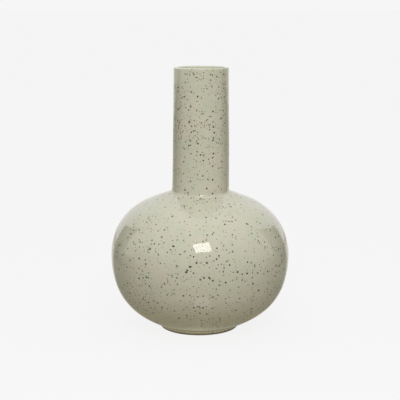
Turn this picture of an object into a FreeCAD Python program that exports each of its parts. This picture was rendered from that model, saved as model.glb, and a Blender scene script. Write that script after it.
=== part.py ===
import FreeCAD, Part
import math
import os

# Bottle vase of glazed stoneware: a wide round body, a tall straight neck and a low foot ring.
# Millimetres, +Z up. The origin is the centre of the foot, on the table.
# The clay is made in four sections, all true about one axis: a foot ring, a bowl, a shoulder and
# a neck. They are joined with slip while soft, at stepped joints that centre one on the next.

# Outside of the vase
total_height = 300.0
globe_radius = 102.8
neck_mouth_radius = 31.3
neck_base_radius = 32.6
foot_radius = 44.7
foot_height = 3.9

# Curves of the globe as shares of its radius, and how far each turns before the next takes over
shoulder_arc_share = 0.676
waist_arc_share = 1.035
belly_arc_share = 0.668
sole_arc_share = 1.2
shoulder_turn = math.radians(68.8)
waist_turn = math.radians(15.6)
belly_turn = math.radians(39.3)

# Clay thicknesses
body_wall = 5.5
neck_wall = 4.2
floor_thickness = 7.0
foot_ring_width = 8.5

# Rounded corners
lip_edge_round = 1.35
neck_crease_round = 2.5
throat_round = 3.0
floor_round = 20.0
foot_crease_round = 4.0
foot_edge_round = 1.0
foot_inner_bevel = 1.2

# Stepped joints: the height of a step, where it stands in its wall, and the film of slip round it
lap_height = 3.0
lap_place_share = 0.5
slip_film = 0.2
collar_height = 2.0
tongue_width = 3.0
tongue_height = 2.0

# How far a cutting outline runs past the clay
overrun = 5.0

shoulder_arc = shoulder_arc_share * globe_radius
waist_arc = waist_arc_share * globe_radius
belly_arc = belly_arc_share * globe_radius
sole_arc = sole_arc_share * globe_radius
sole_turn = waist_turn + belly_turn
recess_radius = foot_radius - foot_ring_width
lip_start_height = total_height - lip_edge_round


def spot(r, z):
    """A point of the section, at radius r and height z."""
    return FreeCAD.Vector(r, 0, z)


def ray(angle):
    """The unit step away from the axis, at an angle above level."""
    return spot(math.cos(angle), math.sin(angle))


def angle_of(centre, point):
    """The angle at which a point is seen from a centre."""
    return math.atan2(point.z - centre.z, point.x - centre.x)


def straight(start, end):
    """A straight edge of the section."""
    return Part.LineSegment(start, end).toShape()


def path(*corners):
    """Straight edges from corner to corner of the section."""
    places = [spot(*corner) for corner in corners]
    return [straight(start, end) for start, end in zip(places, places[1:])]


def bend(centre, radius, start, end):
    """A round edge about a centre, from one angle to another."""
    middle = (start + end) / 2
    places = [centre + ray(angle) * radius for angle in (start, middle, end)]
    return Part.Arc(*places).toShape()


# Places on the globe. Each lower curve takes over from the last without a kink, so its centre lies
# on the ray where the last one ends. The globe stands as high as brings the sole's curve to the
# foot's side at foot_height.
waist_reach = spot(globe_radius - waist_arc, 0)
belly_reach = waist_reach + ray(-waist_turn) * (waist_arc - belly_arc)
sole_reach = belly_reach + ray(-sole_turn) * (belly_arc - sole_arc)
sole_drop = math.sqrt(sole_arc**2 - (foot_radius - sole_reach.x) ** 2)
equator_height = foot_height + sole_drop - sole_reach.z

waist_centre = spot(waist_reach.x, equator_height)
belly_centre = waist_centre + belly_reach - waist_reach
sole_centre = waist_centre + sole_reach - waist_reach
shoulder_centre = spot(globe_radius - shoulder_arc, equator_height)

# The crease over the foot is a small arc that touches the foot's side and the sole's curve
crease_reach = foot_radius + foot_crease_round - sole_centre.x
crease_drop = math.sqrt((sole_arc + foot_crease_round) ** 2 - crease_reach**2)
crease_centre = sole_centre + spot(crease_reach, -crease_drop)
crease_angle = angle_of(sole_centre, crease_centre)
foot_joint = sole_centre + ray(crease_angle) * sole_arc
foot_edge = min(foot_edge_round, crease_centre.z)

# The shoulder's curve ends in a cone that runs to the neck, where the corner is rounded
cone_start = shoulder_centre + ray(shoulder_turn) * shoulder_arc
cone_rise_share = 1 / math.tan(shoulder_turn)
neck_corner_height = cone_start.z + (cone_start.x - neck_base_radius) * cone_rise_share
neck_crease_rise = neck_crease_round * math.tan(shoulder_turn / 2)
neck_joint_height = neck_corner_height + neck_crease_rise + collar_height

floor_height = foot_joint.z + floor_thickness
floor_arc_rise = floor_height + floor_round - sole_centre.z
floor_arc_reach = math.sqrt((sole_arc - body_wall - floor_round) ** 2 - floor_arc_rise**2)
floor_centre = sole_centre + spot(floor_arc_reach, floor_arc_rise)
floor_angle = angle_of(sole_centre, floor_centre)


def globe_side(inset, lowest):
    """The globe's side moved in by an inset, from an angle on the sole's curve up to the cone."""
    return [
        bend(sole_centre, sole_arc - inset, lowest, -sole_turn),
        bend(belly_centre, belly_arc - inset, -sole_turn, -waist_turn),
        bend(waist_centre, waist_arc - inset, -waist_turn, 0),
        bend(shoulder_centre, shoulder_arc - inset, 0, shoulder_turn),
    ]


def cone_and_neck(globe_inset, neck_inset, corner_round):
    """The cone, its rounded corner with the neck, and the neck's tapered side."""
    start = cone_start - ray(shoulder_turn) * globe_inset
    upright = neck_base_radius - neck_inset
    corner_height = start.z + (start.x - upright) * cone_rise_share
    centre = spot(upright + corner_round, corner_height + corner_round * math.tan(shoulder_turn / 2))
    collar = spot(upright, neck_joint_height)
    mouth = spot(neck_mouth_radius - neck_inset, lip_start_height)
    return [
        straight(start, centre - ray(shoulder_turn) * corner_round),
        bend(centre, corner_round, shoulder_turn + math.pi, math.pi),
        straight(spot(upright, centre.z), collar),
        straight(collar, mouth),
    ]


def outside():
    """The edges from the resting face up the outside to the lip."""
    edge_centre = spot(foot_radius - foot_edge, foot_edge)
    edges = [bend(edge_centre, foot_edge, -math.pi / 2, 0)]
    if crease_centre.z > foot_edge:
        edges += path((foot_radius, foot_edge), (foot_radius, crease_centre.z))
    edges.append(bend(crease_centre, foot_crease_round, math.pi, crease_angle + math.pi))
    edges += globe_side(0, crease_angle)
    return edges + cone_and_neck(0, 0, neck_crease_round)


def inside():
    """The edges from the middle of the floor up the inside to the lip."""
    edges = path((0, floor_height), (floor_centre.x, floor_height))
    edges.append(bend(floor_centre, floor_round, -math.pi / 2, floor_angle))
    edges += globe_side(body_wall, floor_angle)
    return edges + cone_and_neck(body_wall, neck_wall, throat_round)


def underneath():
    """The edges from the middle of the floor down and across to the resting face."""
    return path(
        (0, floor_height),
        (0, foot_joint.z),
        (recess_radius, foot_joint.z),
        (recess_radius, foot_inner_bevel),
        (recess_radius + foot_inner_bevel, 0),
        (foot_radius - foot_edge, 0),
    )


def lip():
    """The edges over the lip: a level top between two rounded corners."""
    outer = neck_mouth_radius - lip_edge_round
    inner = neck_mouth_radius - neck_wall + lip_edge_round
    corner = spot(outer, lip_start_height)
    inner_corner = spot(inner, lip_start_height)
    edges = [bend(corner, lip_edge_round, 0, math.pi / 2)]
    edges += path((outer, total_height), (inner, total_height))
    return edges + [bend(inner_corner, lip_edge_round, math.pi / 2, math.pi)]


def whole_section():
    """All the clay on one side of the axis, as one flat face."""
    edges = outside() + lip() + inside() + underneath()
    return Part.Face(Part.Wire(Part.sortEdges(edges)[0]))


def area(*corners):
    """The flat face inside some corners of the section."""
    return Part.Face(Part.Wire(path(*corners, corners[0])))


def above(height, step_radius, step):
    """Everything above a joint whose level inside step_radius lies higher by step."""
    far = globe_radius + overrun
    top = total_height + overrun
    inner = height + step
    step_corners = [(0, inner), (step_radius, inner), (step_radius, height)]
    return area(*step_corners, (far, height), (far, top), (0, top))


def below_foot_joint(film):
    """Everything under the bowl, with the ring's tongue grown by a film on its sides and top."""
    far = globe_radius + overrun
    level = foot_joint.z
    middle = (recess_radius + foot_joint.x) / 2
    near_side = middle - tongue_width / 2 - film
    far_side = middle + tongue_width / 2 + film
    top = level + tongue_height + film
    tongue = [(far_side, level), (far_side, top), (near_side, top), (near_side, level)]
    return area((0, -overrun), (far, -overrun), (far, level), *tongue, (0, level))


def turned(section):
    """A section turned once round the axis."""
    return section.Faces[0].revolve(spot(0, 0), spot(0, 1), 360)


def foot_ring(section):
    """The ring that the vase stands on. Its tongue enters a groove under the bowl."""
    return turned(section.common(below_foot_joint(0)))


def bowl(section):
    """The floor and the lower half of the globe. The inner half of its rim stands up as a step."""
    step_radius = globe_radius - body_wall * lap_place_share
    lower = section.cut(above(equator_height, step_radius, lap_height))
    return turned(lower.cut(below_foot_joint(slip_film)))


def shoulder(section):
    """The upper half of the globe, which fits over the bowl's step and has a collar for the neck."""
    rim_radius = globe_radius - body_wall * lap_place_share + slip_film
    collar_radius = neck_base_radius - neck_wall * lap_place_share + slip_film
    upper = section.common(above(equator_height, rim_radius, lap_height + slip_film))
    return turned(upper.cut(above(neck_joint_height, collar_radius, -lap_height - slip_film)))


def neck(section):
    """The tube and its lip. The inner half of its end reaches down into the collar."""
    step_radius = neck_base_radius - neck_wall * lap_place_share
    return turned(section.common(above(neck_joint_height, step_radius, -lap_height)))


def main():
    """Makes each section of the vase and writes it to its own file."""
    os.makedirs("parts", exist_ok=True)
    section = whole_section()
    for make in (foot_ring, bowl, shoulder, neck):
        piece = make(section)
        piece.exportStep(os.path.join("parts", make.__name__ + ".step"))
        box = piece.BoundBox
        sizes = [round(size, 2) for size in (box.XLength, box.YLength, box.ZMin, box.ZMax)]
        print(make.__name__, piece.ShapeType, piece.isValid(), round(piece.Volume), sizes)
    print("widest ring at", round(equator_height, 2), "neck joint at", round(neck_joint_height, 2))
    print("foot joint at", round(foot_joint.x, 2), round(foot_joint.z, 2))


main()
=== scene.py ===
import math

import bpy
import numpy as np
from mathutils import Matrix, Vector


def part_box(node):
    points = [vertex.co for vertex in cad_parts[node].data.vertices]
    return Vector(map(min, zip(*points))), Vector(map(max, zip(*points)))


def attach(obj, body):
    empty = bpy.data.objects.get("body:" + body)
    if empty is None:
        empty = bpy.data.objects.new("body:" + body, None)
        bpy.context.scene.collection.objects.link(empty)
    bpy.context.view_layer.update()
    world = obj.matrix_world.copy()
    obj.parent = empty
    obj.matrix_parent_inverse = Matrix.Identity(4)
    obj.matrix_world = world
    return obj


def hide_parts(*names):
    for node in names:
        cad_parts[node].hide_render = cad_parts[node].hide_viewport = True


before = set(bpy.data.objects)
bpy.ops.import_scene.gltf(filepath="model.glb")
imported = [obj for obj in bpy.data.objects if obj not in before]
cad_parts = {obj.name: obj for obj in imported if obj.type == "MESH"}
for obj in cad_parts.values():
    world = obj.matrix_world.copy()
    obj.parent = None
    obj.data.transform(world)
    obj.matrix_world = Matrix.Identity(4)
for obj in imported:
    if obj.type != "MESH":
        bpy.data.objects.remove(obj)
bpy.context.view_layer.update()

# Bottle vase of glazed stoneware: one fired wall, with a glossy speckled glaze that ends just above
# the bare clay that it stands on. Metres, +Z up, with the photographed side towards -Y.

# Places read from the clay sections
globe_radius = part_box("bowl")[1].x
widest_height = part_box("shoulder")[0].z
neck_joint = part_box("shoulder")[1].z
foot_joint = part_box("bowl")[0].z
total_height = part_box("neck")[1].z

# Sizes of the outline. The foot's hollow side would be upright at the flare's radius, a depth under
# the table. The joint above it has closer rings over the width of the seat, next to the crease
neck_mouth_radius = 0.0313
neck_base_radius = 0.0326
flare_radius = 0.04436
neck_wall = 0.0042
body_wall = 0.0055
floor_thickness = 0.007
floor_height = foot_joint + floor_thickness
floor_round = 0.02
recess_radius = 0.0362
neck_crease_round = 0.005
throat_round = 0.003
flare_depth = 0.002
seat_width = 0.003
foot_edge_round = 0.0011
recess_edge_round = 0.0012
lip_edge_round = 0.00135

# The globe's curves, as shares of its radius, and the turns after which one gives way to the next
shoulder_arc = 0.676 * globe_radius
waist_arc = 1.035 * globe_radius
belly_arc = 0.668 * globe_radius
sole_arc = 1.2 * globe_radius
shoulder_turn = math.radians(68.8)
waist_turn = math.radians(15.6)
belly_turn = math.radians(39.3)
sole_turn = waist_turn + belly_turn

# How finely a piece is divided: steps round the axis, the spacing of its rings, how close two
# points are when they are one, and the widest bend that is shaded smooth
round_steps = 216
ring_gap = 0.0013
inner_ring_gap = 0.0026
bend_gap = 0.0004
lip_gap = 0.0002
same_place = 0.000001
widest_smooth_bend = math.radians(25)

# The vase's own unevenness: how far its middle stands to the right at some heights, and how the
# ring at the neck's base has sunk and slopes
lean_heights = (0.0, 0.005, 0.03, 0.085, 0.13, 0.152, 0.166, 0.2, 0.3)
lean_offsets = (-0.0009, -0.0009, 0.0, 0.0, -0.0003, -0.0005, 0.0008, 0.0011, 0.0014)
slope_heights = (0.13, 0.159, 0.165, 0.19)
slope_weights = (0.0, 1.0, 1.0, 0.0)
slope_drop = 0.0009
slope_right = 0.0003
slope_front = 0.0016

# The throwing marks fade towards the axis. Each wave has its radians for a metre of height, its
# waves round the axis, how far it swings to and fro, where it starts, and its share of the depth
throwing_depth = 0.00006
throwing_fade_radius = 0.02
throwing_waves = (
    (330, 0, 0.9, 0.0, 0.45),
    (121, 2, 0.0, 1.3, 0.35),
    (38, 3, 0.0, 4.1, 0.2),
)


def arc(centre, radius, start, end, gap):
    """Points of a round edge: centre plus radius times (cos a, sin a), with the angle a evenly
    spaced from start to end, at most one gap apart."""
    steps = max(4, math.ceil(abs(end - start) * radius / gap))
    angle = np.linspace(start, end, steps + 1)
    return np.stack([centre[0] + radius * np.cos(angle), centre[1] + radius * np.sin(angle)], 1)


def run(start, end, gap):
    """Points of a straight edge, evenly spaced from start to end, at most one gap apart."""
    start, end = np.array(start), np.array(end)
    steps = max(1, math.ceil(np.hypot(*(end - start)) / gap))
    share = np.linspace(0, 1, steps + 1)[:, None]
    return start + (end - start) * share


def chain(*edges):
    """Edges put end to end, with the point that two of them share kept once."""
    points = np.concatenate(edges)
    apart = np.hypot(*np.diff(points, axis=0).T) > same_place
    return points[np.concatenate([[True], apart])]


def centre_on_ray(centre, angle, change):
    """A centre moved along the ray at an angle. Moved by the change of radius, it is the centre of
    the next curve, and both curves point the same way where they meet."""
    return centre[0] + math.cos(angle) * change, centre[1] + math.sin(angle) * change


waist_centre = (globe_radius - waist_arc, widest_height)
belly_centre = centre_on_ray(waist_centre, -waist_turn, waist_arc - belly_arc)
sole_centre = centre_on_ray(belly_centre, -sole_turn, belly_arc - sole_arc)
shoulder_centre = (globe_radius - shoulder_arc, widest_height)
cone_start = centre_on_ray(shoulder_centre, shoulder_turn, shoulder_arc)
cone_rise = 1 / math.tan(shoulder_turn)

# The foot's side is one hollow curve. It touches the sole's curve and is upright a little below the
# table, so its radius follows from the distance between the two centres
flare_left = flare_radius - sole_centre[0]
flare_drop = sole_centre[1] + flare_depth
flare_round = (flare_left**2 + flare_drop**2 - sole_arc**2) / (2 * (sole_arc - flare_left))
flare_centre = (sole_centre[0] + flare_left + flare_round, -flare_depth)
crease_angle = math.atan2(-flare_drop, flare_left + flare_round)
crease_touch = centre_on_ray(sole_centre, crease_angle, sole_arc)
seat_radius = crease_touch[0] - seat_width


def globe_side(inset, lowest, gap):
    """The globe's side moved in by an inset: four arcs, each starting where the last one ends."""
    return chain(
        arc(sole_centre, sole_arc - inset, lowest, -sole_turn, gap),
        arc(belly_centre, belly_arc - inset, -sole_turn, -waist_turn, gap),
        arc(waist_centre, waist_arc - inset, -waist_turn, 0, gap),
        arc(shoulder_centre, shoulder_arc - inset, 0, shoulder_turn, gap),
    )


def cone_to_neck(inset, upright, corner, gap):
    """The cone under the neck and its rounded corner: a straight edge to where a circle of radius
    corner touches it, then the circle round to the neck's upright side and up to the joint."""
    start = centre_on_ray(cone_start, shoulder_turn, -inset)
    corner_height = start[1] + (start[0] - upright) * cone_rise
    centre = (upright + corner, corner_height + corner * math.tan(shoulder_turn / 2))
    touch = centre_on_ray(centre, shoulder_turn, -corner)
    return chain(
        run(start, touch, gap),
        arc(centre, corner, shoulder_turn + math.pi, math.pi, bend_gap),
        run((upright, centre[1]), (upright, neck_joint), gap),
    )


def globe_outline():
    """The globe's closed outline from the pole under the floor, out along the foot joint, up the
    outside to the neck joint, across it, and down the inside to the pole of the floor."""
    floor_rise = floor_height + floor_round - sole_centre[1]
    floor_reach = math.sqrt((sole_arc - body_wall - floor_round) ** 2 - floor_rise**2)
    floor_centre = (sole_centre[0] + floor_reach, sole_centre[1] + floor_rise)
    floor_angle = math.atan2(floor_rise, floor_reach)
    outside = chain(
        globe_side(0, crease_angle, ring_gap),
        cone_to_neck(0, neck_base_radius, neck_crease_round, ring_gap),
    )
    inside = chain(
        run((0, floor_height), (floor_centre[0], floor_height), 2 * inner_ring_gap),
        arc(floor_centre, floor_round, -math.pi / 2, floor_angle, inner_ring_gap),
        globe_side(body_wall, floor_angle, inner_ring_gap),
        cone_to_neck(body_wall, neck_base_radius - neck_wall, throat_round, inner_ring_gap),
    )
    under = run((0, foot_joint), (seat_radius, foot_joint), 4 * inner_ring_gap)
    seat = run((seat_radius, foot_joint), crease_touch, ring_gap)
    return chain(under, seat, outside, inside[::-1])


def neck_outline():
    """The neck's closed outline: up the tapered outside, over the lip's two round corners, down the
    inside and back across the joint."""
    lip_start = total_height - lip_edge_round
    outer = (neck_mouth_radius - lip_edge_round, lip_start)
    inner = (neck_mouth_radius - neck_wall + lip_edge_round, lip_start)
    bore_base = (neck_base_radius - neck_wall, neck_joint)
    outside = run((neck_base_radius, neck_joint), (neck_mouth_radius, lip_start), 2 * ring_gap)
    lip = chain(
        arc(outer, lip_edge_round, 0, math.pi / 2, lip_gap),
        run((outer[0], total_height), (inner[0], total_height), bend_gap),
        arc(inner, lip_edge_round, math.pi / 2, math.pi, lip_gap),
    )
    inside = run((neck_mouth_radius - neck_wall, lip_start), bore_base, 2 * inner_ring_gap)
    across = run(bore_base, (neck_base_radius, neck_joint), inner_ring_gap)
    return chain(outside, lip, inside, across)


def foot_outline():
    """The foot ring's closed outline: out along the resting face, round its edge, up to the crease
    under the globe, back along the joint and down the side of the recess."""
    edge_angle = math.pi - math.asin((flare_depth + foot_edge_round) / flare_round)
    edge_top = centre_on_ray(flare_centre, edge_angle, flare_round)
    edge_centre = (edge_top[0] - foot_edge_round, foot_edge_round)
    inner_centre = (recess_radius + recess_edge_round, recess_edge_round)
    return chain(
        run((inner_centre[0], 0), (edge_centre[0], 0), ring_gap),
        arc(edge_centre, foot_edge_round, -math.pi / 2, 0, bend_gap),
        arc(flare_centre, flare_round, edge_angle, crease_angle + math.pi, bend_gap),
        run(crease_touch, (seat_radius, foot_joint), ring_gap),
        run((seat_radius, foot_joint), (recess_radius, foot_joint), inner_ring_gap),
        run((recess_radius, foot_joint), (recess_radius, recess_edge_round), ring_gap),
        arc(inner_centre, recess_edge_round, math.pi, 1.5 * math.pi, bend_gap),
    )


def uneven(points, angle):
    """Moves the turned points as hands leave them: each ring goes sideways by the lean at its
    height, and its radius is less by up to twice the throwing depth, by a sum of sine waves up the
    axis and round it. Round the neck's base each ring has sunk a little and slopes, lower in front
    and at the left, by a smooth step of its height times the cosine and the sine of the angle."""
    radius, height = points[..., 0], points[..., 1]
    wave = 0
    for upward, around, swing, start, share in throwing_waves:
        phase = upward * height + around * angle + swing * np.sin(angle) + start
        wave = wave + share * np.sin(phase)
    fade = np.clip(radius / throwing_fade_radius, 0, 1)
    radius = radius - throwing_depth * (1 + wave) * fade
    side = np.interp(height, lean_heights, lean_offsets)
    share = np.interp(height, slope_heights, slope_weights)
    share = share * share * (3 - 2 * share)
    rise = share * (slope_right * np.sin(angle) - slope_front * np.cos(angle) - slope_drop)
    return np.stack([radius * np.sin(angle) + side, -radius * np.cos(angle), height + rise], -1)


def unrolled(count, closed_ring):
    """The flat places of the corners of a turned surface: across by the share of the turn and up by
    the share of the rings, so that the outside, with its closer rings, gets most of the map. A
    triangle at a pole has its tip half a step along."""
    rows = count if closed_ring else count - 1
    total = count if closed_ring else count + 1
    first_ring = 0 if closed_ring else 1
    step, ring = np.meshgrid(np.arange(round_steps), np.arange(rows) + first_ring)
    across = np.stack([step, step + 1, step + 1, step], -1) / round_steps
    upward = np.stack([ring, ring, ring + 1, ring + 1], -1) / total
    flat = [np.stack([across, upward], -1).reshape(-1, 2)]
    if not closed_ring:
        step = np.arange(round_steps)
        near, far = np.full(round_steps, 1 / total), np.full(round_steps, count / total)
        start = np.stack([step + 0.5, step + 1, step], 1) / round_steps
        end = np.stack([step + 0.5, step, step + 1], 1) / round_steps
        flat.append(np.stack([start, np.stack([0 * near, near, near], 1)], -1).reshape(-1, 2))
        flat.append(np.stack([end, np.stack([0 * far + 1, far, far], 1)], -1).reshape(-1, 2))
    return np.concatenate(flat)


def turned(name, outline, closed_ring):
    """A closed surface turned round the axis. Its two parameters are the angle, in equal steps,
    and the place along the outline. A closed ring's outline ends where it starts, and a closed
    vessel's starts and ends at a pole, where one point stands for the whole ring."""
    rings = outline[:-1] if closed_ring else outline[1:-1]
    count = len(rings)
    angle = np.arange(round_steps) * 2 * math.pi / round_steps
    grid = uneven(np.broadcast_to(rings[:, None], (count, round_steps, 2)), angle[None])
    index = np.arange(count * round_steps).reshape(count, round_steps)
    lower = index if closed_ring else index[:-1]
    upper = np.roll(index, -1, 0) if closed_ring else index[1:]
    corners = [lower, np.roll(lower, -1, 1), np.roll(upper, -1, 1), upper]
    faces = np.stack(corners, -1).reshape(-1, 4).tolist()
    points = grid.reshape(-1, 3)
    if not closed_ring:
        poles = uneven(outline[[0, -1]], np.zeros(2))
        points = np.concatenate([points, poles])
        first, last = len(points) - 2, len(points) - 1
        start, end = index[0], index[-1]
        faces += np.stack([np.full(round_steps, first), np.roll(start, -1), start], 1).tolist()
        faces += np.stack([np.full(round_steps, last), end, np.roll(end, -1)], 1).tolist()
    mesh = bpy.data.meshes.new(name)
    mesh.from_pydata(points.tolist(), [], faces)
    flat = unrolled(count, closed_ring)
    mesh.uv_layers.new(name="OFBake").data.foreach_set("uv", flat.ravel())
    mesh.shade_smooth()
    mesh.set_sharp_from_angle(angle=widest_smooth_bend)
    piece = bpy.data.objects.new(name, mesh)
    bpy.context.scene.collection.objects.link(piece)
    return piece


class Finish:
    """The node tree of a material or of the world, with short ways to add and join nodes."""

    def __init__(self, owner):
        owner.use_nodes = True
        self.owner = owner
        self.tree = owner.node_tree
        self.tree.nodes.clear()

    def add(self, kind, **settings):
        """A node of a kind. A setting named for a property sets it, and in_NAME sets a socket."""
        node = self.tree.nodes.new(kind)
        for key, value in settings.items():
            if key.startswith("in_"):
                self.feed(node.inputs[key[3:].replace("_", " ")], value)
            else:
                setattr(node, key, value)
        return node

    def feed(self, socket, value):
        """Joins another node's socket to this one, or sets its number."""
        if isinstance(value, bpy.types.NodeSocket):
            self.tree.links.new(value, socket)
        else:
            socket.default_value = value

    def maths(self, operation, *values):
        """One step of arithmetic on sockets or numbers."""
        node = self.add("ShaderNodeMath", operation=operation)
        for socket, value in zip(node.inputs, values):
            self.feed(socket, value)
        return node.outputs[0]

    def ramp(self, value, low, high, start=0.0, end=1.0):
        """A smooth step: start below low, end above high, and an S curve between them."""
        node = self.add("ShaderNodeMapRange", interpolation_type="SMOOTHSTEP")
        names = ("Value", "From Min", "From Max", "To Min", "To Max")
        for name, number in zip(names, (value, low, high, start, end)):
            self.feed(node.inputs[name], number)
        return node.outputs["Result"]

    def blend(self, factor, first, second):
        """One colour laid over another by a factor."""
        node = self.add("ShaderNodeMix", data_type="RGBA", in_Factor=factor)
        colours = [socket for socket in node.inputs if socket.type == "RGBA"]
        for socket, value in zip(colours, (first, second)):
            self.feed(socket, value)
        return next(socket for socket in node.outputs if socket.type == "RGBA")

    def length(self, place):
        """How far a point is from the origin."""
        node = self.add("ShaderNodeVectorMath", operation="LENGTH", in_Vector=place)
        return node.outputs["Value"]

    def cloud(self, place, size, detail, roughness=0.5):
        """Soft noise whose forms are about as wide as size, in metres: its colour and its level."""
        return self.add("ShaderNodeTexNoise", in_Vector=place, in_Scale=1 / size,
                        in_Detail=detail, in_Roughness=roughness).outputs

    def finished(self, surface, kind="Material"):
        """Joins a shader to the output and returns the material or the world."""
        self.add("ShaderNodeOutput" + kind, in_Surface=surface)
        return self.owner


def linear(red, green, blue):
    """A colour given as it looks on a screen, from 0 to 255, as the light that the shader needs."""
    parts = np.array([red, green, blue]) / 255
    light = np.where(parts <= 0.04045, parts / 12.92, ((parts + 0.055) / 1.055) ** 2.4)
    return (*light.tolist(), 1.0)


# Colours of the glaze, of the iron in it and of the clay, with the painted light of the mouth and
# the painted highlight of the crease over the foot
grey_green = linear(194, 196, 173)
beige = linear(200, 196, 176)
cream = linear(202, 202, 182)
warm_beige = linear(201, 196, 174)
# Painted light: the paler colour of the lip's top and the inside of the mouth
painted_light_mouth_green = linear(214, 216, 194)
# Painted highlight: the pale cream of the band in the crease over the foot
crease_highlight_cream = linear(232, 229, 212)
rust = linear(168, 150, 122)
iron_brown = linear(95, 76, 40)
iron_black = linear(40, 26, 5)
fired_clay = linear(152, 137, 112)
dark_clay = linear(134, 120, 96)
clay_grain = linear(176, 163, 138)

# Heights between which the glaze changes
warm_low_heights = (0.02, 0.085)
speckled_low_heights = (0.05, 0.12)
shoulder_heights = (0.10, 0.13)
speckled_neck_heights = (0.17, 0.22)
mouth_heights = (0.27, 0.29)
foot_line_heights = (0.0013, 0.0026)
# Heights where the painted highlight in the crease over the foot starts and ends
crease_highlight_start_heights = (0.0028, 0.0040)
crease_highlight_end_heights = (0.0053, 0.0062)
matt_heights = (0.0042, 0.0062)

# How far the edge of the bare clay wanders, how wide that edge is at the recess, and how far inside
# the neck's outer side the mouth's paler colour, which is painted light, starts and is full
clay_line_wander = 0.0011
recess_line_width = 0.0004
mouth_line_depths = (0.0003, 0.0018)

# The iron specks, from faint to bold: spacing, smallest and largest radius, the shift of their
# pattern, their number as a share, how strong the weakest and the strongest show, and their colour
speck_layers = (
    (0.0019, 0.00020, 0.00050, 0.0, 1.0, 0.35, 0.9, iron_brown),
    (0.0026, 0.00036, 0.00088, 3.1, 0.8, 0.55, 1.0, iron_brown),
    (0.0035, 0.00060, 0.00124, 7.7, 1.0, 0.75, 1.0, iron_black),
    (0.0062, 0.00090, 0.00150, 5.3, 1.0, 0.8, 1.0, iron_black),
)
speck_raggedness = 0.0012


def specks(finish, place, spacing, smallest, largest, share, shift):
    """Round specks of iron in the glaze. Space is split into cells about spacing apart, a share
    of the cells hold a speck, and its radius runs from smallest to largest by a random number of
    its own. Returns how much of a point is speck, and another random number of the speck."""
    moved = finish.add("ShaderNodeVectorMath", operation="ADD", in_Vector=place)
    moved.inputs[1].default_value = (shift, -shift, 0.7 * shift)
    cells = finish.add("ShaderNodeTexVoronoi", in_Scale=1 / spacing, in_Vector=moved.outputs[0])
    distance = finish.maths("MULTIPLY", cells.outputs["Distance"], spacing)
    split = finish.add("ShaderNodeSeparateColor")
    finish.feed(split.inputs[0], cells.outputs["Color"])
    chance = finish.maths("LESS_THAN", split.outputs[0], share)
    size = finish.maths("POWER", split.outputs[1], 1.6)
    radius = finish.maths("MULTIPLY_ADD", size, largest - smallest, smallest)
    edge = finish.maths("DIVIDE", distance, radius)
    body = finish.maths("MULTIPLY", finish.ramp(edge, 0.7, 1.15, 1.0, 0.0), chance)
    return body, split.outputs[2]


def glaze_tint(finish, place, height):
    """The glaze's own colour: grey green and beige blotches, creamy patches, and warm low down."""
    blotch = finish.ramp(finish.cloud(place, 0.017, 2.5)["Fac"], 0.36, 0.66)
    patch = finish.ramp(finish.cloud(place, 0.006, 2.0)["Fac"], 0.30, 0.72)
    low = finish.ramp(height, *warm_low_heights, 1.0, 0.0)
    colour = finish.blend(blotch, grey_green, beige)
    colour = finish.blend(finish.maths("MULTIPLY", patch, 0.45), colour, cream)
    return finish.blend(finish.maths("MULTIPLY", low, 0.6), colour, warm_beige)


def with_specks(finish, place, height, mouth, colour):
    """Lays rusty stains and the layers of specks over a colour. They gather in clouds, thickest on
    the neck, thinnest on the shoulder and a little thicker again low down, and the mouth has none.
    Returns the colour, and how deep the two bold layers are sunk."""
    ragged = finish.cloud(place, 0.0014, 1.5)["Color"]
    shake = finish.add("ShaderNodeVectorMath", operation="MULTIPLY_ADD", in_Vector=ragged)
    shake.inputs[1].default_value = (speck_raggedness, speck_raggedness, speck_raggedness)
    finish.feed(shake.inputs[2], place)

    crowd = finish.ramp(finish.cloud(place, 0.024, 1.5)["Fac"], 0.34, 0.64, 0.17, 0.59)
    dense = finish.maths("ADD", crowd, finish.ramp(height, *speckled_low_heights, 0.08, 0.0))
    neckward = finish.ramp(height, *speckled_neck_heights, -0.12, 0.28)
    neckward = finish.maths("MULTIPLY", neckward, finish.ramp(height, *shoulder_heights))
    dense = finish.maths("ADD", dense, neckward)
    dense = finish.maths("MULTIPLY", dense, finish.ramp(mouth, 0.0, 0.5, 1.0, 0.0))

    stain = finish.ramp(finish.cloud(place, 0.004, 2.0)["Fac"], 0.56, 0.75, 0.0, 0.30)
    colour = finish.blend(finish.maths("MULTIPLY", stain, dense), colour, rust)
    bodies = []
    for spacing, smallest, largest, shift, number, weakest, strongest, tint in speck_layers:
        share = finish.maths("MULTIPLY", dense, number)
        body, tone = specks(finish, shake.outputs[0], spacing, smallest, largest, share, shift)
        body = finish.maths("MULTIPLY", body, finish.ramp(tone, 0.0, 1.0, weakest, strongest))
        colour = finish.blend(body, colour, tint)
        bodies.append(body)
    bold = finish.maths("MAXIMUM", *bodies[-2:])
    return colour, finish.maths("MULTIPLY", bold, -0.35)


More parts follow.
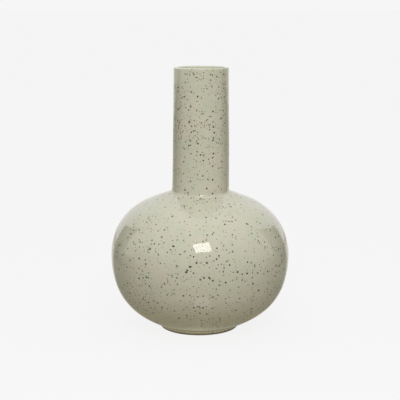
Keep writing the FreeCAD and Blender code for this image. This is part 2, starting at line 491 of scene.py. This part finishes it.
def with_bare_clay(finish, place, height, reach, colour, rough, relief):
    """Over the foot a pale band in the crease is a painted highlight, and the glaze turns matt as it
    thins. It ends in a ragged line just above the table. Below that line and in the recess under the
    foot the clay is bare. Returns the new colour, roughness and relief."""
    wander = finish.maths("MULTIPLY", finish.cloud(place, 0.009, 3.0)["Fac"], clay_line_wander)
    above = finish.maths("SUBTRACT", height, wander)
    foot_line = finish.ramp(above, *foot_line_heights, 1.0, 0.0)
    inward = finish.maths("SUBTRACT", reach, wander)
    recess_edge = (recess_radius - recess_line_width / 2, recess_radius + recess_line_width / 2)
    recess = finish.ramp(inward, *recess_edge, 1.0, 0.0)
    recess_top = (foot_joint + recess_line_width / 2, foot_joint + 1.5 * recess_line_width)
    under = finish.ramp(height, *recess_top, 1.0, 0.0)
    bare = finish.maths("MAXIMUM", foot_line, finish.maths("MULTIPLY", recess, under))

    grain = finish.cloud(place, 0.0007, 3.0, 0.65)["Fac"]
    fired = finish.ramp(finish.cloud(place, 0.014, 2.0)["Fac"], 0.35, 0.65)
    clay = finish.blend(fired, fired_clay, dark_clay)
    clay = finish.blend(finish.ramp(grain, 0.35, 0.75, 0.0, 0.45), clay, clay_grain)
    # Painted highlight: a pale band in the crease over the foot
    below_crease_highlight = finish.ramp(height, *crease_highlight_start_heights, 0.55, 0.0)
    crease_highlight = finish.ramp(height, *crease_highlight_end_heights, 0.55, 0.0)
    crease_highlight = finish.maths("SUBTRACT", crease_highlight, below_crease_highlight)
    colour = finish.blend(crease_highlight, colour, crease_highlight_cream)
    colour = finish.blend(bare, colour, clay)
    rough = finish.maths("MAXIMUM", rough, finish.ramp(height, *matt_heights, 0.42, 0.0))
    rough = finish.maths("MAXIMUM", rough, finish.maths("MULTIPLY", bare, 0.86))
    relief = finish.maths("MULTIPLY_ADD", finish.maths("MULTIPLY", grain, bare), 0.8, relief)
    return colour, rough, relief


def speckled_glaze(name, meets_clay):
    """Glossy glaze in a pale grey green with iron specks of four sizes and a softly uneven skin,
    made paler on the lip's top and inside the mouth by painted light. On a piece that meets bare
    clay it runs out at the foot, with a painted highlight in the crease."""
    finish = Finish(bpy.data.materials.new(name))
    place = finish.add("ShaderNodeTexCoord").outputs["Object"]
    split = finish.add("ShaderNodeSeparateXYZ", in_Vector=place).outputs
    height = split["Z"]
    flat = finish.add("ShaderNodeCombineXYZ", in_X=split["X"], in_Y=split["Y"]).outputs[0]
    reach = finish.length(flat)

    # Painted light: the lip's top and the inside of the mouth are made paler
    shallow, deep = mouth_line_depths
    inner = finish.ramp(reach, neck_mouth_radius - deep, neck_mouth_radius - shallow, 1.0, 0.0)
    mouth = finish.maths("MULTIPLY", inner, finish.ramp(height, *mouth_heights))
    colour = finish.blend(mouth, glaze_tint(finish, place, height), painted_light_mouth_green)
    colour, sunk = with_specks(finish, place, height, mouth, colour)
    relief = finish.maths("MULTIPLY_ADD", finish.cloud(place, 0.0045, 1.0)["Fac"], 0.25, sunk)
    rough = finish.ramp(finish.cloud(place, 0.012, 2.0)["Fac"], 0.3, 0.7, 0.03, 0.07)
    if meets_clay:
        colour, rough, relief = with_bare_clay(finish, place, height, reach, colour, rough, relief)

    bump = finish.add("ShaderNodeBump", in_Strength=0.22, in_Distance=0.0002, in_Height=relief)
    shader = finish.add("ShaderNodeBsdfPrincipled", in_Base_Color=colour, in_Roughness=rough,
                        in_IOR=1.5, in_Normal=bump.outputs[0])
    return finish.finished(shader.outputs[0])


# How bright the camera sees the paper and the surround, and how bright the pale card is in gloss
paper_white = 0.862
surround_white = 0.922
patch_glow = 1.75


def sweep_paper():
    """White paper under the vase. The light that it passes on is warm and brightest near the vase.
    The camera sees an even white with a faint shadow. Gloss sees a bright wedge behind the vase, and
    the paper a little dimmer in front, dimmer still round the foot, and dim at the sides."""
    finish = Finish(bpy.data.materials.new("sweep_paper"))
    path = finish.add("ShaderNodeLightPath").outputs
    place = finish.add("ShaderNodeTexCoord").outputs["Object"]
    split = finish.add("ShaderNodeSeparateXYZ", in_Vector=place).outputs
    reach = finish.length(place)
    aside = finish.maths("ABSOLUTE", split["X"])
    wedge = finish.ramp(finish.maths("MULTIPLY_ADD", aside, -1.25, split["Y"]), -0.12, 0.0)
    fading = finish.ramp(split["Y"], 0.55, 0.85, 0.66, 0.32)
    front = finish.ramp(split["Y"], -0.20, 0.05, 0.76, 0.22)
    gloss = finish.maths("MULTIPLY_ADD", wedge, fading, front)
    gloss = finish.maths("ADD", gloss, finish.ramp(split["Y"], 1.6, 2.8, 0.0, 0.45))
    gloss = finish.maths("ADD", gloss, finish.ramp(reach, 0.055, 0.08, -0.17, 0.0))

    level = finish.maths("MULTIPLY", path["Is Glossy Ray"], gloss)
    near = finish.ramp(reach, 0.05, 0.12, 0.34, 0.08)
    level = finish.maths("MULTIPLY_ADD", path["Is Diffuse Ray"], near, level)
    seen = finish.maths("MAXIMUM", path["Is Camera Ray"], path["Is Transmission Ray"])
    level = finish.maths("MULTIPLY_ADD", seen, paper_white, level)
    close = finish.ramp(reach, 0.07, 0.14, 1.0, 0.0)
    warmed = finish.maths("MULTIPLY", close, path["Is Glossy Ray"])
    warmed = finish.maths("MAXIMUM", warmed, path["Is Diffuse Ray"])
    warm = finish.blend(warmed, (1.0, 1.0, 1.0, 1.0), (1.0, 0.95, 0.76, 1.0))
    glow = finish.add("ShaderNodeEmission", in_Strength=level, in_Color=warm)

    tone = finish.blend(seen, (0.235, 0.215, 0.15, 1.0), (0.07, 0.07, 0.07, 1.0))
    matt = finish.add("ShaderNodeBsdfDiffuse", in_Color=tone)
    total = finish.add("ShaderNodeAddShader")
    finish.feed(total.inputs[0], matt.outputs[0])
    finish.feed(total.inputs[1], glow.outputs[0])
    return finish.finished(total.outputs[0])


def glowing_grey_card():
    """A card that glows dimly: painted light, lighter near the floor and dimmer towards the back."""
    finish = Finish(bpy.data.materials.new("glowing_grey_card"))
    place = finish.add("ShaderNodeTexCoord").outputs["Object"]
    split = finish.add("ShaderNodeSeparateXYZ", in_Vector=place).outputs
    low = finish.ramp(split["Z"], 0.12, 0.20, 0.30, 0.12)
    near = finish.ramp(split["Y"], 0.08, 0.16, 1.0, 0.4)
    dim = finish.add("ShaderNodeEmission", in_Strength=finish.maths("MULTIPLY", low, near))
    return finish.finished(dim.outputs[0])


def glowing_pale_patch():
    """An even pale card that glows: painted light."""
    finish = Finish(bpy.data.materials.new("glowing_pale_patch"))
    shine = finish.add("ShaderNodeEmission", in_Strength=patch_glow)
    return finish.finished(shine.outputs[0])


def surround():
    """What stands round the stage. The camera sees it white. It lights the vase from above and in
    front. Gloss sees it white, a little dimmer in front and straight behind, with a brighter field
    high at the left."""
    finish = Finish(bpy.data.worlds.new("surround"))
    path = finish.add("ShaderNodeLightPath").outputs
    place = finish.add("ShaderNodeTexCoord").outputs["Generated"]
    toward = finish.add("ShaderNodeSeparateXYZ", in_Vector=place).outputs
    above = finish.maths("MAXIMUM", toward["Z"], 0.0)
    ahead = finish.maths("MAXIMUM", finish.maths("MULTIPLY", toward["Y"], -1.0), 0.0)
    low = finish.ramp(toward["Z"], 0.05, 0.4, 0.5, 0.18)
    light = finish.maths("MULTIPLY_ADD", ahead, low, above)
    level = finish.maths("MULTIPLY", path["Is Diffuse Ray"], light)

    leftward = finish.ramp(toward["X"], -0.9, -0.5, 1.0, 0.0)
    leftward = finish.maths("MULTIPLY", leftward, finish.ramp(toward["Y"], -0.1, 0.3, 1.0, 0.0))
    leftward = finish.maths("MULTIPLY", leftward, finish.ramp(toward["Z"], 0.15, 0.35, 0.0, 0.6))
    behind = finish.ramp(toward["Y"], 0.86, 0.97, 1.12, 0.98)
    gloss = finish.maths("MULTIPLY_ADD", behind, finish.ramp(toward["Y"], -0.3, 0.3, 0.88, 1.0),
                         leftward)
    level = finish.maths("MULTIPLY_ADD", path["Is Glossy Ray"], gloss, level)
    seen = finish.maths("MAXIMUM", path["Is Camera Ray"], path["Is Transmission Ray"])
    level = finish.maths("MULTIPLY_ADD", seen, surround_white, level)
    white = finish.add("ShaderNodeBackground", in_Strength=level, in_Color=(1, 1, 1, 1))
    return finish.finished(white.outputs[0], "World")


def level_corners(left, right, front, back, height):
    """The corners of a level rectangle that faces up."""
    nearer = [(left, front, height), (right, front, height)]
    return nearer + [(right, back, height), (left, back, height)]


def stage_card(name, corners, material, seen_by_camera):
    """A flat card of the stage between its corners. One that the camera doesn't see shows in gloss
    alone."""
    mesh = bpy.data.meshes.new(name)
    mesh.from_pydata(corners, [], [list(range(len(corners)))])
    mesh.materials.append(material)
    card = bpy.data.objects.new(name, mesh)
    bpy.context.scene.collection.objects.link(card)
    card.visible_camera = seen_by_camera
    card.visible_diffuse = seen_by_camera
    card.visible_shadow = seen_by_camera


def lamp(name, place, target, width, height, power, roll):
    """A rectangular soft lamp at a place, turned to face its target and rolled by an angle."""
    light = bpy.data.lights.new(name, "AREA")
    light.shape = "RECTANGLE"
    light.size = width
    light.size_y = height
    light.energy = power
    holder = bpy.data.objects.new(name, light)
    bpy.context.scene.collection.objects.link(holder)
    place, target = np.array(place), np.array(target)
    forward = (target - place) / np.linalg.norm(target - place)
    right = np.cross(forward, (0, 0, 1))
    right = right / np.linalg.norm(right)
    up = np.cross(right, forward)
    cos, sin = math.cos(roll), math.sin(roll)
    right, up = right * cos + up * sin, up * cos - right * sin
    matrix = np.eye(4)
    matrix[:3] = np.stack([right, up, -forward, place], 1)
    holder.matrix_world = matrix.T.tolist()
    holder.visible_camera = False
    return holder


# Pieces
glaze = speckled_glaze("speckled_glaze", False)
glaze_and_clay = speckled_glaze("speckled_glaze_and_clay", True)
globe = turned("glazed_globe", globe_outline(), False)
neck = turned("glazed_neck", neck_outline(), True)
foot = turned("foot_ring_turned", foot_outline(), True)
for piece, nodes in ((globe, ("bowl", "shoulder")), (neck, ("neck",)), (foot, ("foot_ring",))):
    piece.data.materials.append(glaze if piece is neck else glaze_and_clay)
    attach(piece, "root")
    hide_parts(*nodes)

# Camera: found from the ellipses of the mouth and the foot
bpy.context.scene.view_settings.view_transform = "Standard"
camera = bpy.data.cameras.new("camera")
camera.lens = 97.51
camera.sensor_width = 36
viewer = bpy.data.objects.new("camera", camera)
viewer.location = (0, -1.2255, 0.3703)
viewer.rotation_euler = (math.radians(79.721), 0, 0)
bpy.context.scene.collection.objects.link(viewer)
bpy.context.scene.camera = viewer

# Stage: a white sweep under and behind the vase, two dimly glowing cards at its sides and a pale
# glowing one in front of its foot, painted light which the glaze mirrors. The edge of a side card is
# listed as distances back from the vase's middle and heights
bpy.context.scene.world = surround()
floor_corners = level_corners(left=-20, right=20, front=-20, back=60, height=0)
stage_card("floor", floor_corners, sweep_paper(), True)
card_distance = 0.35
card_edge = [(0.29, 0), (0.29, 0.222), (0.176, 0.252), (0.098, 0.294), (0.023, 0.36)]
left_edge = card_edge[:4] + [(0.05, 0.33), (0.05, 0)]
right_edge = card_edge + [(0.02, 0.36), (0.02, 0)]
grey = glowing_grey_card()
stage_card("left_card", [(-card_distance, back, up) for back, up in left_edge], grey, False)
stage_card("right_card", [(card_distance, back, up) for back, up in right_edge], grey, False)
patch_corners = level_corners(left=-0.013, right=0.022, front=-0.165, back=-0.118, height=0.0005)
stage_card("low_patch", patch_corners, glowing_pale_patch(), False)

# Light: one soft lamp that shows in the glaze, and a second beside it that doesn't
lit = (0, -0.08, 0.11)
lamp("softbox", (0.055, -0.920, 0.724), lit, width=0.37, height=0.31, power=3.2, roll=0.16)
fill = lamp("softbox_fill", (0.058, -0.93, 0.72), lit, width=0.36, height=0.30, power=1.4, roll=0)
fill.visible_glossy = False
